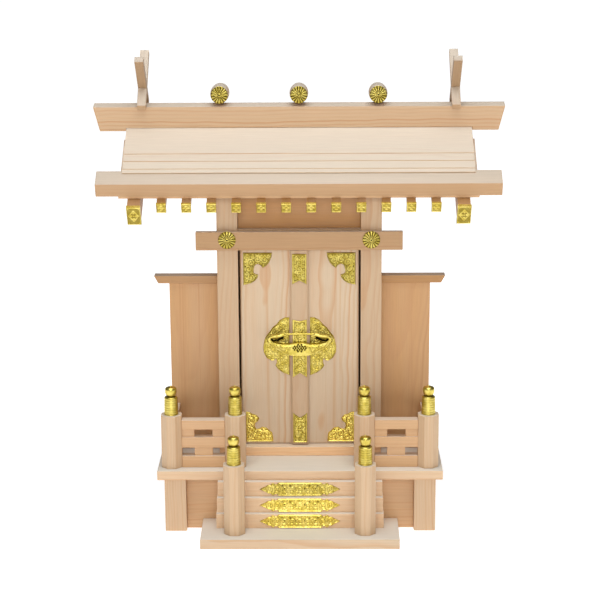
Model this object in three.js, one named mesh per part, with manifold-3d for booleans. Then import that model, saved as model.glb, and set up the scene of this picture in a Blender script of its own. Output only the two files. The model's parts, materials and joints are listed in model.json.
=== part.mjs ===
// Household Shinto shrine for one deity, pale cypress wood with gilt fittings.
// Millimetres, +Z up, +X to the viewer's right, +Y to the back. The origin is on the ground, under the
// middle of the whole shrine.
import * as THREE from 'three';
import { mergeVertices } from 'three/addons/utils/BufferGeometryUtils.js';
import Module from 'manifold-3d';

const wasm = await Module();
wasm.setup();

// Clearances
const seatGap = 0.3; // between a sloping piece and what it rests on
const pivotGap = 0.6; // round a door pivot, and over and under a door

// Base board, stairs and their newel posts
const baseBoard = { width: 190, depth: 56, thick: 10 };
const stair = { width: 159, taper: 1.2, rise: 14.6, going: 4.8, count: 3 };
const post = { side: 20 };
const newel = { height: 69.5, setback: 8.6, stairGap: 0.4 };
const innerPostX = 62.5;

// Legs, plinth boards and floor
const leg = { side: 20.8, outerX: 131.5, proud: 8.7 };
const plinth = { thick: 8, sideRecess: 8.5, behindWall: 2 };
const floor = { width: 276.4, thick: 9.2, nosing: 3.3, behindWall: 6 };
const veranda = 44.7; // from the floor's front edge to the sill

// Veranda railing
const outerPostX = 124.3;
const railPost = { setback: 6, height: 53 };
const rail = {
  top: { height: 9.4, deep: 10 },
  middle: { height: 10.8, deep: 8.4 },
  bottom: { height: 11.7, deep: 10 },
  strutDeep: 6,
  upperGap: 7.8,
  lowerGap: 8.2,
  window: 17.6, // open width between the upper struts, and width of the lower strut
};
const cap = { height: 29, body: 6.9, bodyTall: 17.4, neck: 4.2, head: 5.4 };

// Chamber
const chamberDeep = 104; // from the pillars' front to the back of the back wall
const sill = { height: 9.1, deep: 30.3, nose: 8.3 };
const pillar = { side: 20.2, innerX: 59.5 };
const door = { recess: 2, thick: 6, height: 197.6, outerX: 57.8, meetingGap: 0.6 };
const pivot = { radius: 2, long: 4 };
const astragal = { width: 17.6, thick: 4, bevel: 1.6, endGap: 0.4 };
const doorHead = { deep: 10, height: 19.1, proud: 1 };
const lintel = { width: 199.4, deep: 6, height: 18.1, overHead: 0 };
const frieze = { thick: 6, recess: 8 };
const wall = { thick: 8, innerX: 66 };

// Side wings
const wing = { outerX: 127.7, thick: 5, setback: 15, height: 171.1 };
const wingCap = { overhang: 10.5, lean: 4.1, height: 7.5, deep: 12 };

// Lock: a crescent hung from a rod between its curled tips
const lock = {
  halfSpan: 28.4, thick: 5.6, bottomUp: 91.6, crescentTall: 16.9, hornTall: 24.2, hornWide: 12,
  slotTall: 3.6, wall: 1.7, rodThick: 2.2, standOff: 0.8,
};

// Roof, measured down the slope from the peak and square to it
const roof = {
  peakZ: 389.8,
  pitch: THREE.MathUtils.degToRad(32),
  width: 336,
  courseDrop: 0.8,
  courses: [50.7, 60.5, 70.4, 75.4],
  lapThick: 1,
  lapStart: 70.8,
};
const eave = { width: 386, backWidth: 332, thick: 13.2, topSlope: 90.2, bottomSlope: 92.9 };
const soffit = { width: 343.4, thick: 3, slope: 92.2 };
const rafter = { width: 8.5, thick: 9, slope: 101, pitch: 23.76, count: 12, rebate: 0.5 };
const barge = { innerX: 150.6, outerX: 162.9, thick: 19.6, slope: 106.8 };

// Ridge and what stands on it
const ridge = { topWidth: 400, endLean: 6.2, deep: 24, bottomZ: 379.7, topZ: 403.3, crown: 2.4 };
const billet = { long: 26, endRadius: 8.5, midRadius: 9.2, spacing: 77 };
const finial = { fromEnd: 47.9, thick: 8.5, width: 6.6, crossUp: 17.5, upperLong: 43.7, lowerLong: 24.8 };

// Depths from the base board's front edge
const plinthFront = baseBoard.depth;
const legFront = plinthFront - leg.proud;
const floorFront = legFront - floor.nosing;
const railFront = floorFront + railPost.setback;
const sillFront = floorFront + veranda;
const pillarFront = sillFront + sill.nose;
const doorFace = pillarFront + door.recess;
const wingFront = pillarFront + wing.setback;
const wallBack = pillarFront + chamberDeep;
const wallBackInner = wallBack - wall.thick;
const plinthBack = wallBack + plinth.behindWall;
const floorBack = wallBack + floor.behindWall;
const ridgeMiddle = pillarFront + chamberDeep / 2;

// Roof layers, each measured square to the slope from the plane of the top course
const eaveTop = -(roof.courseDrop * (roof.courses.length - 1) + roof.lapThick + seatGap);
const eaveBottom = eaveTop - eave.thick;
const roofUnder = eaveBottom + seatGap;
const soffitTop = eaveBottom - seatGap;
const soffitUnder = soffitTop - soffit.thick;
const rafterUnder = soffitUnder - rafter.thick;
const bargeTop = soffitUnder - seatGap;

// The middle of the whole depth, from the base board's front to the back bargeboard ends
const bargeReach = barge.slope * Math.cos(roof.pitch) + bargeTop * Math.sin(roof.pitch);
const midY = (ridgeMiddle + bargeReach) / 2;

const wood = { color: 0xe2c9a6, roughness: 0.62, metalness: 0 };
const gilt = { color: 0xd8b54a, roughness: 0.32, metalness: 1 };

const shrine = new THREE.Group();
shrine.name = 'household_shrine';

function add(name, geometry, look = wood) {
  const mesh = new THREE.Mesh(geometry, new THREE.MeshStandardMaterial(look));
  mesh.name = name;
  mesh.position.y = -midY;
  shrine.add(mesh);
}

// Shapes
function block(x0, x1, y0, y1, z0, z1) {
  const geometry = new THREE.BoxGeometry(x1 - x0, y1 - y0, z1 - z0);
  return geometry.translate((x0 + x1) / 2, (y0 + y1) / 2, (z0 + z1) / 2);
}

function extrude(points, long) {
  const corners = () => points.map(([a, b]) => new THREE.Vector2(a, b));
  const shape = points instanceof THREE.Shape ? points : new THREE.Shape(corners());
  return new THREE.ExtrudeGeometry(shape, { depth: long, bevelEnabled: false, curveSegments: 8 });
}

// Outline in Y and Z, drawn out along X
function alongX(points, x0, x1) {
  const turn = new THREE.Matrix4().set(0, 0, 1, x0, 1, 0, 0, 0, 0, 1, 0, 0, 0, 0, 0, 1);
  return extrude(points, x1 - x0).applyMatrix4(turn);
}

// Outline in X and Z, drawn out along Y
function alongY(points, y0, y1) {
  return extrude(points, y1 - y0).rotateX(Math.PI / 2).translate(0, y1, 0);
}

// Outline in X and Y, drawn out along Z
function alongZ(points, z0, z1) {
  return extrude(points, z1 - z0).translate(0, 0, z0);
}

function turned(profile, segments) {
  const points = profile.map(([r, z]) => new THREE.Vector2(r, z));
  return new THREE.LatheGeometry(points, segments).rotateX(Math.PI / 2);
}

function solid(geometry) {
  const bare = new THREE.BufferGeometry();
  bare.setAttribute('position', geometry.getAttribute('position').clone());
  if (geometry.index) bare.setIndex(geometry.index.clone());
  const joined = mergeVertices(bare, 1e-5);
  return new wasm.Manifold(new wasm.Mesh({
    numProp: 3,
    vertProperties: new Float32Array(joined.getAttribute('position').array),
    triVerts: new Uint32Array(joined.index.array),
  }));
}

function surface(manifold) {
  const mesh = manifold.getMesh();
  const geometry = new THREE.BufferGeometry();
  geometry.setAttribute('position', new THREE.BufferAttribute(new Float32Array(mesh.vertProperties), 3));
  geometry.setIndex(new THREE.BufferAttribute(new Uint32Array(mesh.triVerts), 1));
  geometry.computeVertexNormals();
  return geometry;
}

function fuse(geometries) {
  return surface(geometries.map(solid).reduce((whole, piece) => whole.add(piece)));
}

function cut(geometry, tools) {
  return surface(tools.map(solid).reduce((whole, tool) => whole.subtract(tool), solid(geometry)));
}

function eightSidedPost(x, frontY, z0, z1) {
  const half = post.side / 2;
  const flat = half * Math.tan(Math.PI / 8); // all eight faces alike
  const corners = [
    [-flat, -half], [flat, -half], [half, -flat], [half, flat],
    [flat, half], [-flat, half], [-half, flat], [-half, -flat],
  ];
  return alongZ(corners, z0, z1).translate(x, frontY + half, 0);
}

// Onion-shaped post cap: a sleeve, a deep neck, then a round head that ends in a point
function onionCap(x, frontY, z0) {
  const { height, body, bodyTall, neck, head } = cap;
  const headMiddle = (bodyTall + height) / 2;
  const profile = [
    [0, 0], [body, 0], [body, bodyTall * 0.1], [body * 0.93, bodyTall * 0.4], [body * 0.9, bodyTall * 0.88],
    [body * 0.78, bodyTall], [neck, bodyTall + 0.4], [neck, bodyTall + 1.8], [head * 0.9, headMiddle - 2.6],
    [head, headMiddle - 0.6], [head * 0.72, headMiddle + 2.4], [head * 0.2, height - 2], [0, height],
  ];
  return turned(profile, 20).translate(x, frontY + post.side / 2, z0);
}

const sides = [['left', -1], ['right', 1]];

function mirrored(side, x0, x1) {
  return side < 0 ? [-x1, -x0] : [x0, x1];
}

// Base board, stairs and newels
const baseTop = baseBoard.thick;
add('base_board', block(-baseBoard.width / 2, baseBoard.width / 2, 0, baseBoard.depth, 0, baseTop));
['lower', 'middle', 'upper'].forEach((place, i) => {
  const half = (stair.width + stair.taper * (stair.count - 1 - i)) / 2;
  const z0 = baseTop + i * stair.rise;
  const y0 = newel.setback + post.side + newel.stairGap + i * stair.going;
  add(`step_${place}`, block(-half, half, y0, plinthFront, z0, z0 + stair.rise));
});
const floorUnder = baseTop + stair.count * stair.rise;
const floorTop = floorUnder + floor.thick;
for (const [hand, side] of sides) {
  const x = side * innerPostX;
  add(`newel_${hand}`, eightSidedPost(x, newel.setback, baseTop, baseTop + newel.height));
  add(`newel_cap_${hand}`, onionCap(x, newel.setback, baseTop + newel.height), gilt);
}

// Legs, plinth boards and floor
const legInnerX = leg.outerX - leg.side;
const plinthSideOuter = leg.outerX - plinth.sideRecess;
const plinthSideInner = plinthSideOuter - plinth.thick;
add('plinth_front', block(-legInnerX, legInnerX, plinthFront, plinthFront + plinth.thick, 0, floorUnder));
for (const [hand, side] of sides) {
  const [x0, x1] = mirrored(side, legInnerX, leg.outerX);
  add(`leg_${hand}`, block(x0, x1, legFront, legFront + leg.side, 0, floorUnder));
  const [p0, p1] = mirrored(side, plinthSideInner, plinthSideOuter);
  add(`plinth_${hand}`, block(p0, p1, legFront + leg.side, plinthBack, 0, floorUnder));
}
add('plinth_back', block(-plinthSideInner, plinthSideInner, plinthBack - plinth.thick, plinthBack, 0, floorUnder));
add('floor_board', block(-floor.width / 2, floor.width / 2, floorFront, floorBack, floorUnder, floorTop));

// Railing. A panel runs between two posts; its struts stand over each other like brickwork.
const railLevels = {
  bottom: floorTop + rail.bottom.height,
  middle: floorTop + rail.bottom.height + rail.lowerGap,
  struts: floorTop + rail.bottom.height + rail.lowerGap + rail.middle.height,
};
railLevels.top = railLevels.struts + rail.upperGap;

function railPanel(long) {
  const bar = (a0, a1, deep, z0, z1) => block(a0, a1, -deep / 2, deep / 2, z0, z1);
  const windowStart = (long - rail.window) / 2;
  return [
    bar(0, long, rail.bottom.deep, floorTop, railLevels.bottom),
    bar(windowStart, windowStart + rail.window, rail.strutDeep, railLevels.bottom, railLevels.middle),
    bar(0, long, rail.middle.deep, railLevels.middle, railLevels.struts),
    bar(0, windowStart, rail.strutDeep, railLevels.struts, railLevels.top),
    bar(windowStart + rail.window, long, rail.strutDeep, railLevels.struts, railLevels.top),
    bar(0, long, rail.top.deep, railLevels.top, railLevels.top + rail.top.height),
  ];
}

const railMidY = railFront + post.side / 2;
const railFrontLong = outerPostX - innerPostX - post.side;
const railSideStart = railFront + post.side;
for (const [hand, side] of sides) {
  for (const [place, x] of [['outer', outerPostX], ['inner', innerPostX]]) {
    const top = floorTop + railPost.height;
    add(`rail_post_${place}_${hand}`, eightSidedPost(side * x, railFront, floorTop, top));
    add(`rail_cap_${place}_${hand}`, onionCap(side * x, railFront, top), gilt);
  }
  const startX = side < 0 ? -outerPostX + post.side / 2 : innerPostX + post.side / 2;
  const front = railPanel(railFrontLong).map((bar) => bar.translate(startX, railMidY, 0));
  add(`railing_front_${hand}`, fuse(front));
  const run = railPanel(wingFront - railSideStart);
  const along = run.map((bar) => bar.rotateZ(Math.PI / 2).translate(side * outerPostX, railSideStart, 0));
  add(`railing_side_${hand}`, fuse(along));
}

// Sill, pillars, door head, lintel and frieze
const sillTop = floorTop + sill.height;
const doorBottom = sillTop + pivotGap;
const doorTop = doorBottom + door.height;
const headBottom = doorTop + pivotGap;
const pivotX = door.outerX - door.thick / 2;
const pivotY = doorFace + door.thick / 2;

function pivotPin(side, radius, z0, z1) {
  const round = [[0, z0], [radius, z0], [radius, z1], [0, z1]];
  return turned(round, 16).translate(side * pivotX, pivotY, 0);
}

const socketRadius = pivot.radius + pivotGap;
const sillSockets = sides.map(([, side]) => pivotPin(side, socketRadius, doorBottom - pivot.long - pivotGap, sillTop + 1));
const pillarOuter = pillar.innerX + pillar.side;
add('sill', cut(
  block(-pillarOuter, pillarOuter, sillFront, sillFront + sill.deep, floorTop, sillTop),
  sillSockets,
));
const headSockets = sides.map(([, side]) => pivotPin(side, socketRadius, headBottom - 1, doorTop + pivot.long + pivotGap));
const headFront = doorFace - doorHead.proud;
add('door_head', cut(
  block(-pillar.innerX, pillar.innerX, headFront, headFront + doorHead.deep, headBottom, headBottom + doorHead.height),
  headSockets,
));

// A point on the front slope: down the slope from the peak, and up from the roof's plane
function onSlope(down, up) {
  const { peakZ, pitch } = roof;
  return [
    ridgeMiddle - down * Math.cos(pitch) - up * Math.sin(pitch),
    peakZ - down * Math.sin(pitch) + up * Math.cos(pitch),
  ];
}

// Height over the ground of a plane parallel to the front slope, at a given Y
function slopeHeight(y, up) {
  return roof.peakZ - Math.abs(ridgeMiddle - y) * Math.tan(roof.pitch) + up / Math.cos(roof.pitch);
}

const pillarTop = slopeHeight(pillarFront, rafterUnder) - seatGap;

for (const [hand, side] of sides) {
  const [x0, x1] = mirrored(side, pillar.innerX, pillarOuter);
  add(`pillar_${hand}`, block(x0, x1, pillarFront, pillarFront + pillar.side, sillTop, pillarTop));
}
const lintelBottom = headBottom + lintel.overHead;
add('lintel', block(
  -lintel.width / 2, lintel.width / 2,
  pillarFront - lintel.deep, pillarFront,
  lintelBottom, lintelBottom + lintel.height,
));
const friezeFront = pillarFront + frieze.recess;
add('frieze', block(
  -pillar.innerX, pillar.innerX, friezeFront, friezeFront + frieze.thick, headBottom + doorHead.height, pillarTop,
));

// Walls. The side walls rise to the soffit between two rafters; the back wall stops under the rafters.
const wallFront = pillarFront + pillar.side;
const gable = [
  [wallFront, sillTop], [wallFront, slopeHeight(wallFront, soffitUnder) - seatGap],
  [ridgeMiddle, slopeHeight(ridgeMiddle, soffitUnder) - seatGap],
  [wallBackInner, slopeHeight(wallBackInner, soffitUnder) - seatGap],
  [wallBackInner, floorTop], [sillFront + sill.deep, floorTop], [sillFront + sill.deep, sillTop],
];
for (const [hand, side] of sides) {
  add(`wall_${hand}`, alongX(gable, ...mirrored(side, wall.innerX, wall.innerX + wall.thick)));
  const inner = pillarOuter;
  const wingTop = floorTop + wing.height;
  const capEndX = wing.outerX + wingCap.overhang;
  const [w0, w1] = mirrored(side, inner, wing.outerX);
  add(`wing_${hand}`, block(w0, w1, wingFront, wingFront + wing.thick, floorTop, wingTop));
  const capEnds = [
    [inner, wingTop], [capEndX, wingTop], [capEndX + wingCap.lean, wingTop + wingCap.height],
    [inner, wingTop + wingCap.height],
  ].map(([x, z]) => [side * x, z]);
  const capMid = wingFront + wing.thick / 2;
  add(`wing_cap_${hand}`, alongY(side < 0 ? capEnds.reverse() : capEnds, capMid - wingCap.deep / 2, capMid + wingCap.deep / 2));
}
const wallOuter = wall.innerX + wall.thick;
const backTop = slopeHeight(wallBack, rafterUnder) - seatGap;
add('wall_back', block(-wallOuter, wallOuter, wallBackInner, wallBack, floorTop, backTop));

// Doors. The hinge edge is rounded about the pivots, which stand up and down from it.
for (const [hand, side] of sides) {
  const half = door.thick / 2;
  const [x0, x1] = mirrored(side, door.meetingGap / 2, pivotX);
  const leaf = block(x0, x1, doorFace, doorFace + door.thick, doorBottom, doorTop);
  const edge = pivotPin(side, half, doorBottom, doorTop);
  const pins = pivotPin(side, pivot.radius, doorBottom - pivot.long, doorTop + pivot.long);
  add(`door_${hand}`, fuse([leaf, edge, pins]));
}
const astragalBack = doorFace - seatGap;
const astragalFront = astragalBack - astragal.thick;
const halfStile = astragal.width / 2;
add('astragal', alongZ([
  [-halfStile, astragalBack], [-halfStile, astragalFront + astragal.bevel],
  [-halfStile + astragal.bevel, astragalFront], [halfStile - astragal.bevel, astragalFront],
  [halfStile, astragalFront + astragal.bevel], [halfStile, astragalBack],
], doorBottom + astragal.endGap, doorTop - astragal.endGap));

// The lock's outline, with its lowest point at the origin. Each tip is a horn with a slot through it.
function lockOutline() {
  const { halfSpan, crescentTall, hornTall, hornWide, slotTall, wall: rim } = lock;
  const inner = halfSpan - hornWide;
  const shape = new THREE.Shape();
  shape.moveTo(0, 0);
  shape.quadraticCurveTo(halfSpan * 0.62, 0, halfSpan * 0.95, hornTall * 0.37);
  shape.quadraticCurveTo(halfSpan * 1.05, hornTall * 0.7, halfSpan, hornTall);
  shape.lineTo(inner, hornTall);
  shape.lineTo(inner, crescentTall * 0.9);
  shape.quadraticCurveTo(inner * 0.5, crescentTall, 0, crescentTall);
  shape.quadraticCurveTo(-inner * 0.5, crescentTall, -inner, crescentTall * 0.9);
  shape.lineTo(-inner, hornTall);
  shape.lineTo(-halfSpan, hornTall);
  shape.quadraticCurveTo(-halfSpan * 1.05, hornTall * 0.7, -halfSpan * 0.95, hornTall * 0.37);
  shape.quadraticCurveTo(-halfSpan * 0.62, 0, 0, 0);
  const slotTop = hornTall - lock.rodThick - rim;
  for (const side of [-1, 1]) {
    const near = side * (inner + rim);
    const far = side * (halfSpan - rim);
    const slot = new THREE.Path();
    slot.moveTo(near, slotTop - slotTall);
    slot.lineTo(far, slotTop - slotTall);
    slot.lineTo(far, slotTop);
    slot.lineTo(near, slotTop);
    shape.holes.push(slot);
  }
  return shape;
}
const lockBack = astragalFront - lock.standOff;
const lockBottom = doorBottom + lock.bottomUp;
const rodZ = lockBottom + lock.hornTall - lock.rodThick / 2;
const rodHalf = lock.halfSpan - lock.hornWide / 2;
add('lock', fuse([
  alongY(lockOutline(), lockBack - lock.thick, lockBack).translate(0, 0, lockBottom),
  block(
    -rodHalf, rodHalf, lockBack - lock.thick * 0.7, lockBack - lock.thick * 0.3,
    rodZ - lock.rodThick / 2, rodZ + lock.rodThick / 2,
  ),
]), gilt);

// Roof. Every layer is an outline on the front slope; the back slope is the same outline mirrored.
function mirrorY(points) {
  return points.map(([y, z]) => [2 * ridgeMiddle - y, z]).reverse();
}

// From the plane of the ridge down to a cut end
function layer(up0, up1, down0, down1 = down0) {
  return [
    [ridgeMiddle, slopeHeight(ridgeMiddle, up0)], onSlope(down0, up0),
    onSlope(down1, up1), [ridgeMiddle, slopeHeight(ridgeMiddle, up1)],
  ];
}

const lastCourse = roof.courses.length - 1;
const roofOutline = [[ridgeMiddle, roof.peakZ]];
roof.courses.forEach((down, i) => {
  roofOutline.push(onSlope(down, -roof.courseDrop * i));
  roofOutline.push(onSlope(down, i < lastCourse ? -roof.courseDrop * (i + 1) : eaveTop + seatGap));
});
roofOutline.push(onSlope(roof.lapStart, eaveTop + seatGap));
roofOutline.push(onSlope(roof.lapStart, roofUnder));
roofOutline.push([ridgeMiddle, slopeHeight(ridgeMiddle, roofUnder)]);
const eaveStart = roof.lapStart + seatGap;
const eaveOutline = [
  onSlope(eaveStart, eaveTop), onSlope(eave.topSlope, eaveTop),
  onSlope(eave.bottomSlope, eaveBottom), onSlope(eaveStart, eaveBottom),
];
const soffitOutline = layer(soffitTop, soffitUnder, soffit.slope);
const rafterOutline = layer(soffitUnder + rafter.rebate, rafterUnder, rafter.slope);

const slopes = [['front', (points) => points, eave.width], ['back', mirrorY, eave.backWidth]];
for (const [place, view, eaveWidth] of slopes) {
  add(`roof_${place}`, alongX(view(roofOutline), -roof.width / 2, roof.width / 2));
  add(`eave_${place}`, alongX(view(eaveOutline), -eaveWidth / 2, eaveWidth / 2));
  const pieces = [alongX(view(soffitOutline), -soffit.width / 2, soffit.width / 2)];
  for (let i = 0; i < rafter.count; i += 1) {
    const x = (i - (rafter.count - 1) / 2) * rafter.pitch;
    pieces.push(alongX(view(rafterOutline), x - rafter.width / 2, x + rafter.width / 2));
  }
  add(`rafters_${place}`, fuse(pieces));
}
const bargeHalf = layer(bargeTop, bargeTop - barge.thick, barge.slope);
const bargeOutline = [...bargeHalf.slice(1, 4), ...mirrorY(bargeHalf).slice(1, 3), bargeHalf[0]];
for (const [hand, side] of sides) {
  add(`bargeboard_${hand}`, alongX(bargeOutline, ...mirrored(side, barge.innerX, barge.outerX)));
}

// Ridge board, grooved over the roof's width to sit on the peak; its ends reach down past the groove
const ridgeFront = ridgeMiddle - ridge.deep / 2;
const ridgeBack = ridgeMiddle + ridge.deep / 2;
const crownZ = ridge.topZ + ridge.crown;
const endSplay = ridge.endLean / (ridge.topZ - ridge.bottomZ);
const halfAt = (z) => ridge.topWidth / 2 - (ridge.topZ - z) * endSplay;
const ridgeSection = alongX([
  [ridgeFront, ridge.bottomZ], [ridgeBack, ridge.bottomZ], [ridgeBack, ridge.topZ],
  [ridgeMiddle, crownZ], [ridgeFront, ridge.topZ],
], -ridge.topWidth / 2, ridge.topWidth / 2);
const endTrim = sides.map(([, side]) => {
  const corners = [
    [side * halfAt(ridge.bottomZ - 1), ridge.bottomZ - 1], [side * halfAt(crownZ + 1), ridge.bottomZ - 1],
    [side * halfAt(crownZ + 1), crownZ + 1],
  ];
  return alongY(side < 0 ? corners.reverse() : corners, ridgeFront - 1, ridgeBack + 1);
});
const grooveReach = ridge.deep / 2 + 1;
const groove = alongX([
  [ridgeMiddle - grooveReach, slopeHeight(ridgeMiddle - grooveReach, seatGap)],
  [ridgeMiddle - grooveReach, ridge.bottomZ - 5], [ridgeMiddle + grooveReach, ridge.bottomZ - 5],
  [ridgeMiddle + grooveReach, slopeHeight(ridgeMiddle + grooveReach, seatGap)],
  [ridgeMiddle, slopeHeight(ridgeMiddle, seatGap)],
], -roof.width / 2 - seatGap, roof.width / 2 + seatGap);
add('ridge_board', cut(ridgeSection, [groove, ...endTrim]));

// Billets across the ridge, thicker in the middle
const billetProfile = [];
const billetSteps = 8;
for (let i = 0; i <= billetSteps; i += 1) {
  const t = (i / billetSteps) * 2 - 1;
  billetProfile.push([billet.endRadius + (billet.midRadius - billet.endRadius) * (1 - t * t), (t * billet.long) / 2]);
}
const billetRound = [[0, -billet.long / 2], ...billetProfile, [0, billet.long / 2]];
[['left', -1], ['middle', 0], ['right', 1]].forEach(([place, step]) => {
  const log = turned(billetRound, 24).rotateX(Math.PI / 2);
  add(`ridge_billet_${place}`, log.translate(step * billet.spacing, ridgeMiddle, crownZ + billet.midRadius));
});

// Crossed finials. Each is a pair of square-cut boards, half-lapped at the crossing, astride the ridge.
const crossZ = ridge.topZ + finial.crossUp;
const finialX = ridge.topWidth / 2 - finial.fromEnd;

// Outline of the board that rises to the front; its mirror rises to the back
function boardOutline() {
  const along = Math.SQRT1_2;
  const corner = (up, side) => [
    ridgeMiddle + (-up + (side * finial.width) / 2) * along,
    crossZ + (up + (side * finial.width) / 2) * along,
  ];
  const { upperLong, lowerLong } = finial;
  return [corner(upperLong, -1), corner(-lowerLong, -1), corner(-lowerLong, 1), corner(upperLong, 1)];
}

for (const [hand, side] of sides) {
  const x0 = side * finialX - finial.thick / 2;
  const x1 = side * finialX + finial.thick / 2;
  const rising = boardOutline();
  const falling = mirrorY(rising);
  const lapMid = (x0 + x1) / 2;
  const outerHalf = side < 0 ? [x0 - 1, lapMid + seatGap / 2] : [lapMid - seatGap / 2, x1 + 1];
  const innerHalf = side < 0 ? [lapMid - seatGap / 2, x1 + 1] : [x0 - 1, lapMid + seatGap / 2];
  add(`finial_front_${hand}`, cut(alongX(rising, x0, x1), [alongX(falling, ...outerHalf)]));
  add(`finial_back_${hand}`, cut(alongX(falling, x0, x1), [alongX(rising, ...innerHalf)]));
}

export default shrine;
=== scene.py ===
"""A household shrine in pale cypress with gilt fittings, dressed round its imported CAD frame.

Metres, +Z up, -Y to the viewer. Sizes in millimetres are turned to metres by MM.
"""

import json
import math

import bmesh
import bpy
import numpy as np
from mathutils import Matrix, Vector
from mathutils.geometry import delaunay_2d_cdt

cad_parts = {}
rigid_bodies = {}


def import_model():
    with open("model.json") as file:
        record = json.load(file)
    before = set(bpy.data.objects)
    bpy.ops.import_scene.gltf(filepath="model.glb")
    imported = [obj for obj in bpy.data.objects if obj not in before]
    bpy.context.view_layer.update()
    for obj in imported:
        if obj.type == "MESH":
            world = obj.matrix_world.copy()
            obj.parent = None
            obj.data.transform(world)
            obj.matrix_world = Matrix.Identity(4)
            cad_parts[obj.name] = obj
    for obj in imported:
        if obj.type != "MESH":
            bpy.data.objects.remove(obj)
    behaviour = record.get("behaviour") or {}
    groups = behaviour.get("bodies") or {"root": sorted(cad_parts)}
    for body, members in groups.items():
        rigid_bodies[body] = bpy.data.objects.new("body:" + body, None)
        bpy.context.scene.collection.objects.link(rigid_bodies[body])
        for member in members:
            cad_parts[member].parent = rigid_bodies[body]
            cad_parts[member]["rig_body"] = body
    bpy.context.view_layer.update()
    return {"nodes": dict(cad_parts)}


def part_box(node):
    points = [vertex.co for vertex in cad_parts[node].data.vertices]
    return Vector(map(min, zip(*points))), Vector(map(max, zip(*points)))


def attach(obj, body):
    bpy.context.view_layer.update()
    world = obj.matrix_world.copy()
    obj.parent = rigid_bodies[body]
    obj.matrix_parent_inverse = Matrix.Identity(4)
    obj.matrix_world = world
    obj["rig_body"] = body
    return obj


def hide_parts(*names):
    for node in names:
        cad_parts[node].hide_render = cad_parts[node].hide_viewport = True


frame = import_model()

MM = 0.001
BODY_OF = {name: node["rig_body"] for name, node in frame["nodes"].items()}


def as_object(name, data, material=None):
    made = bpy.data.objects.new(name, data)
    bpy.context.collection.objects.link(made)
    if material:
        data.materials.append(material)
    return made


# -------------- camera and light

PHOTO_WIDTH_PX = 600
FOCAL_PX = 1800.6
SENSOR_MM = 36.0
CAMERA_PLACE = Vector((0.01913, -1.71375, 0.65588))
CAMERA_TILT = math.radians(14.41)
CAMERA_TURN = math.radians(-0.63)
CAMERA_ROLL = math.radians(-0.33)


def set_camera():
    data = bpy.data.cameras.new("photo_camera")
    data.sensor_width = SENSOR_MM
    data.lens = FOCAL_PX * SENSOR_MM / PHOTO_WIDTH_PX
    ahead = Vector((math.sin(CAMERA_TURN), math.cos(CAMERA_TURN), 0)) * math.cos(CAMERA_TILT)
    ahead.z = -math.sin(CAMERA_TILT)
    level = Vector((math.cos(CAMERA_TURN), -math.sin(CAMERA_TURN), 0))
    above = level.cross(ahead)
    right = level * math.cos(CAMERA_ROLL) + above * math.sin(CAMERA_ROLL)
    up = above * math.cos(CAMERA_ROLL) - level * math.sin(CAMERA_ROLL)
    camera = as_object("photo_camera", data)
    camera.matrix_world = Matrix(
        [[right[i], up[i], -ahead[i], CAMERA_PLACE[i]] for i in range(3)] + [[0, 0, 0, 1]]
    )
    bpy.context.scene.camera = camera


def softbox(name, place, target, size, watts, tint=(1, 1, 1)):
    data = bpy.data.lights.new(name, "AREA")
    data.shape = "RECTANGLE"
    data.size, data.size_y = size
    data.energy = watts
    data.color = tint
    light = as_object(name, data)
    light.location = place
    aim = Vector(target) - Vector(place)
    light.rotation_euler = aim.to_track_quat("-Z", "Y").to_euler()


COOL = (0.93, 0.99, 1.08)
ROOM_FILL = 0.18  # the room's even light


def light_studio():
    bpy.context.scene.view_settings.view_transform = "Standard"
    world = bpy.data.worlds.new("studio")
    world.use_nodes = True
    room = world.node_tree.nodes["Background"]
    room.inputs["Color"].default_value = (1, 1, 1, 1)
    room.inputs["Strength"].default_value = ROOM_FILL
    bpy.context.scene.world = world
    middle = (0, 0, 0.24)
    softbox("softbox_over", (0.0, -0.50, 2.0), middle, (1.6, 1.2), 26, COOL)
    softbox("softbox_left", (-1.7, -1.7, 0.9), middle, (0.9, 1.4), 1.8)
    softbox("softbox_right", (1.7, -1.7, 0.9), middle, (0.9, 1.4), 1.4)
    softbox("softbox_front", (0.0, -1.9, 1.0), middle, (1.2, 0.8), 13.5)


# -------------- shader maths


class Wire:
    """One number running through a finish. Python's operators add its Math nodes."""

    def __init__(self, finish, socket):
        self.finish, self.socket = finish, socket

    def _join(self, operation, first, second=None):
        values = {0: first} if second is None else {0: first, 1: second}
        node = self.finish.node("ShaderNodeMath", {"operation": operation}, values)
        return Wire(self.finish, node.outputs[0])

    def __add__(self, other):
        return self._join("ADD", self, other)

    def __radd__(self, other):
        return self._join("ADD", other, self)

    def __sub__(self, other):
        return self._join("SUBTRACT", self, other)

    def __rsub__(self, other):
        return self._join("SUBTRACT", other, self)

    def __mul__(self, other):
        return self._join("MULTIPLY", self, other)

    def __rmul__(self, other):
        return self._join("MULTIPLY", other, self)

    def __truediv__(self, other):
        return self._join("DIVIDE", self, other)

    def fraction(self):
        return self._join("FRACT", self)

    def floor(self):
        return self._join("FLOOR", self)

    def power(self, exponent):
        return self._join("POWER", self, exponent)

    def step(self, low, high, to_low=0.0, to_high=1.0):
        """Eases from to_low to to_high as the number goes from low to high."""
        node = self.finish.node(
            "ShaderNodeMapRange",
            {"interpolation_type": "SMOOTHSTEP"},
            {"Value": self, "From Min": low, "From Max": high, "To Min": to_low, "To Max": to_high},
        )
        return Wire(self.finish, node.outputs["Result"])


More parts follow.
